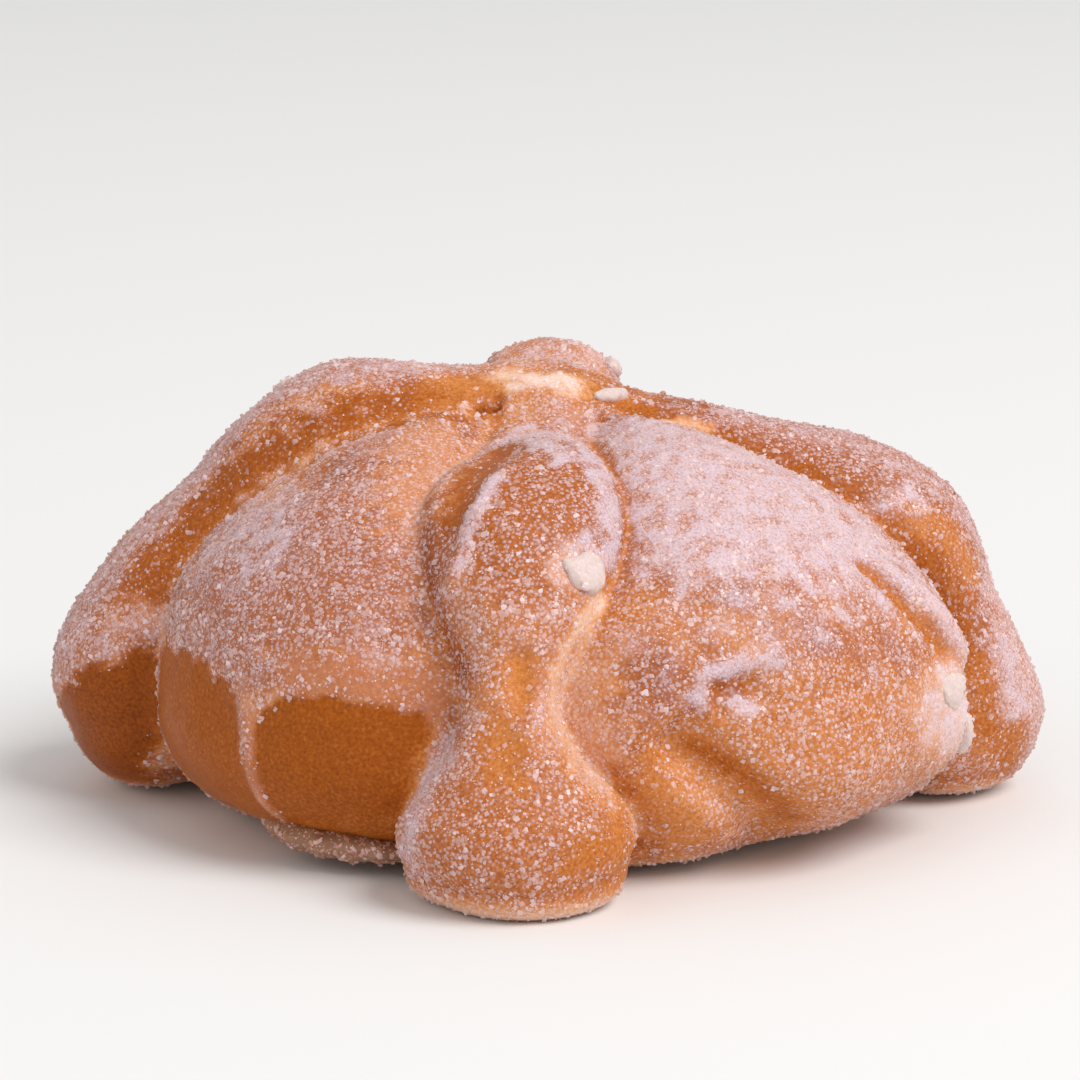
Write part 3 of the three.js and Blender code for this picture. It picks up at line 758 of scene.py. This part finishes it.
# caked sugar: sugar that got wet and dried into a dull cream mass, grainy like coarse sandstone; where it is
# still damp it is clearer, and warm brown from the crust behind it; on the ledge that brown is also painted
# shade, as it lies in the shade under the bread
cakeFinish = dict(
    # the damp colour is a dark warm brown for damp sugar that also paints the ledge's shade
    pale="#dfcdc8", deep="#d2bcb5", dampAndShade="#96663f",
    grain=0.5, grainEdge=(0.25, 0.75), roughness=0.65, bumpHeight=0.1, bumpStrength=0.7,
    tone=0.1, dampAndShadeTone=0.5,  # browning behind the grains on it, and what the damp and painted shade add
)


# caked sugar's material: two creams mixed by the noise of its grain, with the brown of damp and painted
# shade mixed over them
def makeCakeMaterial():
    f = cakeFinish
    material, tree, shader = startMaterial("caked sugar")
    place = addNode(tree, "ShaderNodeTexCoord").outputs["Object"]
    grain = addNode(tree, "ShaderNodeTexNoise", {"Vector": place, "Scale": 1 / (f["grain"] * mm),
                                                 "Detail": 2.0}).outputs["Fac"]
    low, high = f["grainEdge"]
    share = addNode(tree, "ShaderNodeMapRange", {"Value": grain, "From Min": low, "From Max": high})
    colour = addNode(tree, "ShaderNodeMix",
                     {0: share.outputs["Result"], 6: linear(f["deep"]), 7: linear(f["pale"])},
                     data_type="RGBA").outputs[2]
    dampAndShade = addNode(tree, "ShaderNodeAttribute", attribute_name="dampAndShade").outputs["Fac"]
    colour = addNode(tree, "ShaderNodeMix", {0: dampAndShade, 6: colour, 7: linear(f["dampAndShade"])},
                     data_type="RGBA").outputs[2]
    bump = addNode(tree, "ShaderNodeBump", {"Height": grain, "Strength": f["bumpStrength"],
                                            "Distance": f["bumpHeight"] * mm})
    tree.links.new(colour, shader.inputs["Base Color"])
    tree.links.new(bump.outputs[0], shader.inputs["Normal"])
    shader.inputs["Roughness"].default_value = f["roughness"]
    return material


# all the caked sugar as one piece, with the maps that the loose grains on it take
def makeCake():
    rows = lumps + hiddenLumpRows()
    skins = [lumpSkin(*row[:3], lumpGrid["seed"] + i) for i, row in enumerate(rows)] + [ledgeSkin()]
    counts = [len(points) for points, faces in skins]
    starts = np.cumsum([0] + counts)
    points = np.vstack([points for points, faces in skins])
    points[:, 2] = np.maximum(points[:, 2], 0)
    quads = np.vstack([faces[0] + start for (skin, faces), start in zip(skins, starts)])
    fans = np.vstack([faces[1] + start for (skin, faces), start in zip(skins, starts)])
    piece = makePiece("cakedSugar", points, [quads, fans], makeCakeMaterial())
    print("caked sugar made:", len(skins), "lumps with the ledge")
    grains = np.repeat([row[3] for row in rows] + [ledge["graininess"]], counts)
    onLedge = np.repeat([0] * len(rows) + [1], counts)
    higher = smoothStep(*ledge["dampAndShadeHeights"], points[:, 2])
    # damp sugar and painted shade over the whole ledge, more of both towards its top
    dampAndShade = onLedge * (ledge["lowDampAndShade"] + ledge["moreDampAndShade"] * higher)
    addAttribute(piece, "dampAndShade", dampAndShade)
    tones = cakeFinish["tone"] + cakeFinish["dampAndShadeTone"] * dampAndShade
    return dict(points=points, quads=quads, normals=normalsOf(points, quads),
                maps=dict(bakeAndShade=tones, frost=grains * (1 - dampAndShade), grains=grains))


cake = makeCake()


# random spots on a skin, as many to the square millimetre as the density at its points says: a quad is drawn
# by its area times its density, and a place in it by two even shares
def scatterOn(skin, density, draw):
    points, normals, quads = skin["points"], skin["normals"], skin["quads"]
    a, b, c, d = [points[quads[:, i]] for i in range(4)]
    area = np.linalg.norm(np.cross(c - a, d - b), axis=1) / 2
    weight = area * density[quads].mean(1)
    count = int(weight.sum())
    picked = quads[np.searchsorted(np.cumsum(weight), draw.uniform(0, weight.sum(), count))]
    u, v = draw.uniform(size=(2, count, 1))
    shares = [(1 - u) * (1 - v), u * (1 - v), u * v, (1 - u) * v]
    spots = sum(share * points[picked[:, i]] for i, share in enumerate(shares))
    ways = sum(share * normals[picked[:, i]] for i, share in enumerate(shares))
    return spots, ways, skin["maps"]["bakeAndShade"][picked[:, 0]], skin["maps"]["frost"][picked[:, 0]]


# corners and faces of the crystals: a block, a double pyramid with a square waist, one with a three-sided
# waist, and a pyramid with three sides and a base, the last three scaled to about the block's bulk
crystalShapes = dict(
    block=(np.array([(x, y, z) for z in (-1, 1) for y in (-1, 1) for x in (-1, 1)], float),
           np.array([(0, 2, 3, 1), (4, 5, 7, 6), (0, 1, 5, 4), (2, 6, 7, 3), (0, 4, 6, 2), (1, 3, 7, 5)])),
    diamond=(np.array([(1, 0, 0), (0, 1, 0), (-1, 0, 0), (0, -1, 0), (0, 0, 1), (0, 0, -1)], float) * 1.35,
             np.array([(0, 1, 4), (1, 2, 4), (2, 3, 4), (3, 0, 4),
                       (1, 0, 5), (2, 1, 5), (3, 2, 5), (0, 3, 5)])),
    spike=(np.array([(1, 0, 0), (-0.5, 0.87, 0), (-0.5, -0.87, 0), (0, 0, 1), (0, 0, -1)], float) * 1.35,
           np.array([(0, 1, 3), (1, 2, 3), (2, 0, 3), (1, 0, 4), (2, 1, 4), (0, 2, 4)])),
    chip=(np.array([(1, 1, 1), (1, -1, -1), (-1, 1, -1), (-1, -1, 1)], float) * 0.85,
          np.array([(0, 1, 2), (0, 3, 1), (0, 2, 3), (1, 3, 2)])),
)

# kinds of sugar: shape, half sizes in millimetres, most grains to the square millimetre, map and clumping
sugarKinds = [
    dict(name="sugarCrystals", shape="block", size=(0.16, 0.30), density=1.0, map="grains", power=1.4,
         clump=2.4, seed=11),
    dict(name="sugarGrains", shape="diamond", size=(0.12, 0.21), density=1.5, map="grains", power=1.4,
         clump=1.6, seed=12),
    dict(name="sugarFines", shape="spike", size=(0.08, 0.15), density=3.2, map="frost", power=1.2, clump=1.1,
         seed=13),
    dict(name="sugarChips", shape="chip", size=(0.09, 0.17), density=2.5, map="grains", power=1.2, clump=1.2,
         seed=14),
]

# how grains cluster and lie: the clouds' strength and what keeps their mean, and the heights where they
# start; a grain's size as the powers of a beta curve, its stretch, the jitter of its corners, how far it is
# pressed flat, and how many sizes it is raised and sunk
grainLay = dict(clumping=0.7, evening=0.25, footHeights=(0.15, 0.5), sizes=(1.4, 2.2), stretch=(0.75, 1.25),
                jitter=(0.6, 1.25), flatness=0.55, rise=0.7, sink=0.15)

# granulated sugar: clear crystals that show as pinkish white, each with more or less of the crust's warm
# colour shining through it; light passes through a grain, so it casts no shadow and its far side is hardly
# darker
sugarFinish = dict(
    white="#eedae0", roughness=0.35, sharpness=0.65,
    whiteness=(1.1, 2.9),  # powers of the beta curve between the least and the most
    leastWhite=0.15, frostWhite=0.38, mostWhite=0.95,  # whiter where frost covers the crust behind a grain
)


# granulated sugar's material: the crust's browning behind a grain, painted shade included, with white mixed
# over it
def makeSugarMaterial():
    f = sugarFinish
    material, tree, shader = startMaterial("granulated sugar")
    tone, whiteness = [
        addNode(tree, "ShaderNodeAttribute", attribute_name=name).outputs["Fac"]
        for name in ("tone", "whiteness")]
    colour = addNode(tree, "ShaderNodeMix", {0: whiteness, 6: browningOf(tree, tone), 7: linear(f["white"])},
                     data_type="RGBA").outputs[2]
    tree.links.new(colour, shader.inputs["Base Color"])
    shader.inputs["Roughness"].default_value = f["roughness"]
    return material


# turns by random unit quaternions, as 3 by 3 arrays
def randomTurns(count, draw):
    spins = draw.normal(size=(4, count))
    w, x, y, z = spins / np.linalg.norm(spins, axis=0)
    return np.stack([
        np.stack([1 - 2 * (y * y + z * z), 2 * (x * y - w * z), 2 * (x * z + w * y)], -1),
        np.stack([2 * (x * y + w * z), 1 - 2 * (x * x + z * z), 2 * (y * z - w * x)], -1),
        np.stack([2 * (x * z - w * y), 2 * (y * z + w * x), 1 - 2 * (x * x + y * y)], -1)], 1)


# grains of one kind as one joined mesh: each is the kind's shape, stretched, turned, pressed flat and half
# sunk at its spot
def makeGrains(kind, spots, ways, tones, frost, material, draw):
    lay, f = grainLay, sugarFinish
    corners, faces = crystalShapes[kind["shape"]]
    count = len(spots)
    small, large = kind["size"]
    size = small + (large - small) * draw.beta(*lay["sizes"], count)
    stretch = size[:, None] * draw.uniform(*lay["stretch"], (count, 3))
    shaped = corners * stretch[:, None, :] * draw.uniform(*lay["jitter"], (count, len(corners), 3))
    turned = np.einsum("nij,nkj->nki", randomTurns(count, draw), shaped)
    proud = draw.uniform(size=count) ** 2  # most grains lie flat in the coat, and a few stand up
    upright = np.einsum("nki,ni->nk", turned, ways) * (lay["flatness"] * (1 - proud))[:, None]
    turned -= upright[:, :, None] * ways[:, None, :]
    raised = spots + ways * (size * (lay["rise"] * proud - lay["sink"]))[:, None]
    vertices = (turned + raised[:, None, :]).reshape(-1, 3)
    vertices[:, 2] = np.maximum(vertices[:, 2], 0.0)
    joined = (faces + len(corners) * np.arange(count)[:, None, None]).reshape(-1, faces.shape[1])
    piece = makePiece(kind["name"], vertices, [joined], material)
    # each facet is lit as if turned part of the way to the crust's normal, as light comes through the grain
    facets = turned[:, faces]
    facets = np.cross(facets[:, :, 2] - facets[:, :, 0], facets[:, :, -1] - facets[:, :, 1])
    facets *= f["sharpness"] / np.maximum(np.linalg.norm(facets, axis=2), 1e-9)[:, :, None]
    facing = np.repeat((ways[:, None, :] + facets).reshape(-1, 3), faces.shape[1], axis=0)
    piece.data.normals_split_custom_set((facing / np.linalg.norm(facing, axis=1)[:, None]).tolist())
    piece.visible_shadow = False
    addAttribute(piece, "tone", np.repeat(tones, len(corners)))
    least = f["leastWhite"] + f["frostWhite"] * frost
    whiteness = least + (f["mostWhite"] - least) * draw.beta(*f["whiteness"], count)
    addAttribute(piece, "whiteness", np.repeat(whiteness, len(corners)))
    triangles = len(joined) * (faces.shape[1] - 2)
    print(kind["name"], count, "grains,", triangles, "triangles")


# all the loose sugar: a kind's density is its map to a power, times a power of e that goes up and down with
# clouds
def scatterSugar():
    lay = grainLay
    material = makeSugarMaterial()
    for kind in sugarKinds:
        draw = np.random.default_rng(kind["seed"])
        scattered = []
        for skin in (crust, cake):
            points = skin["points"]
            density = kind["density"] * skin["maps"][kind["map"]] ** kind["power"]
            clumps = lay["clumping"] * clouds(points, kind["clump"], kind["seed"]) - lay["evening"]
            density = density * np.exp(clumps)
            density *= smoothStep(*lay["footHeights"], points[:, 2])  # none under the foot
            scattered.append(scatterOn(skin, density, draw))
        spots, ways, tones, frost = [np.concatenate(parts) for parts in zip(*scattered)]
        makeGrains(kind, spots, ways, tones, frost, material, draw)


scatterSugar()

# Floor and light in metres, and the camera
studio = dict(
    floorRadius=3.0, floorSides=64, floorColour="#ececec", floorRoughness=0.9,
    worldColour="#ffffff", worldStrength=0.62,
    lampTarget=(0, 0, 0.03), lampSize=1.5,
    lamps=[  # name, place, power in watts, colour
        ("key", (1.2, -0.84, 1.74), 36, "#fffdfb"),
        ("fill", (-1.5, -1.05, 1.0), 2.7, "#fff2e4"),
    ],
)
view = dict(target=(-0.7, 0.0, 32.0), elevation=12.5, distance=600.0, lens=160.0, sensor=36)


# a round floor of pale card, and an even white world
def makeStudio():
    turns = np.linspace(0, 2 * np.pi, studio["floorSides"] + 1)[:-1]
    rim = np.stack([np.cos(turns), np.sin(turns), 0 * turns], -1) * studio["floorRadius"]
    mesh = bpy.data.meshes.new("floor")
    mesh.from_pydata(rim.tolist(), [], [list(range(len(rim)))])
    material, tree, shader = startMaterial("matt white card")
    shader.inputs["Base Color"].default_value = linear(studio["floorColour"])
    shader.inputs["Roughness"].default_value = studio["floorRoughness"]
    mesh.materials.append(material)
    floor = bpy.data.objects.new("floor", mesh)
    bpy.context.scene.collection.objects.link(floor)
    world = bpy.data.worlds.new("studio")
    world.use_nodes = True
    background = world.node_tree.nodes["Background"]
    background.inputs["Color"].default_value = linear(studio["worldColour"])
    background.inputs["Strength"].default_value = studio["worldStrength"]
    bpy.context.scene.world = world


# a soft round lamp turned to the bread
def addLamp(name, place, power, colour):
    lamp = bpy.data.lights.new(name, "AREA")
    lamp.shape, lamp.size, lamp.energy, lamp.color = "DISK", studio["lampSize"], power, linear(colour)[:3]
    body = bpy.data.objects.new(name, lamp)
    bpy.context.scene.collection.objects.link(body)
    body.location = place
    body.rotation_euler = (Vector(studio["lampTarget"]) - Vector(place)).to_track_quat("-Z", "Y").to_euler()


# the camera stands off from its target by the distance, in front of it and up by the elevation
def makeCamera():
    rise = np.radians(view["elevation"])
    target = np.array(view["target"])
    place = target + view["distance"] * np.array([0, -np.cos(rise), np.sin(rise)])
    camera = bpy.data.cameras.new("camera")
    camera.lens, camera.sensor_width = view["lens"], view["sensor"]
    body = bpy.data.objects.new("camera", camera)
    bpy.context.scene.collection.objects.link(body)
    body.location = place * mm
    body.rotation_euler = (Vector(target) - Vector(place)).to_track_quat("-Z", "Y").to_euler()
    bpy.context.scene.camera = body


makeStudio()
for lamp in studio["lamps"]:
    addLamp(*lamp)
makeCamera()
bpy.context.scene.view_settings.view_transform = "Standard"
print("studio lit")
